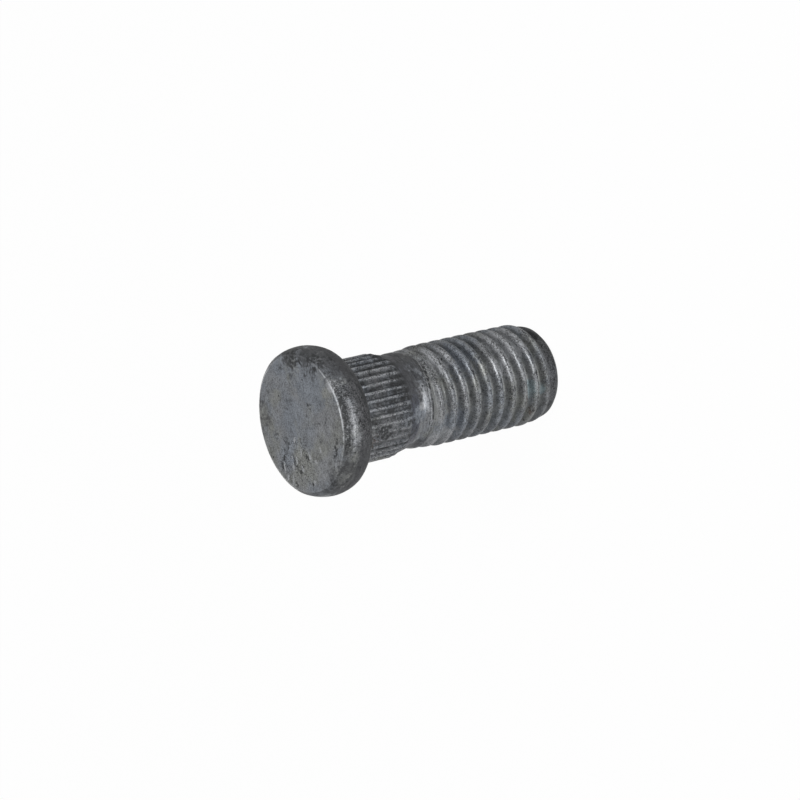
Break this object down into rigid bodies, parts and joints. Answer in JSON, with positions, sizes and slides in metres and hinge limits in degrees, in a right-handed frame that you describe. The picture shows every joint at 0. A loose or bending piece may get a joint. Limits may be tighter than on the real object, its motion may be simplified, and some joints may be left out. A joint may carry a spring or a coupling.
{
  "type": "press-in wheel stud",
  "caption": "Press-in wheel stud: round flat head with a bulging rim, straight knurl, plain neck and a coarse rolled thread with a tapered tip.",
  "frame": {"origin": "on the axis, at the middle of the tip's flat end, which the stud stands on", "axes": "+Z along the axis from the tip to the face of the head"},
  "size_m": [0.0176, 0.0176, 0.0338],
  "materials": {
    "zinc_steel": "dull bluish grey zinc, mottled and pitted"
  },
  "bodies": {
    "root": {"wheel_stud": "zinc_steel"}
  },
  "joints": []
}
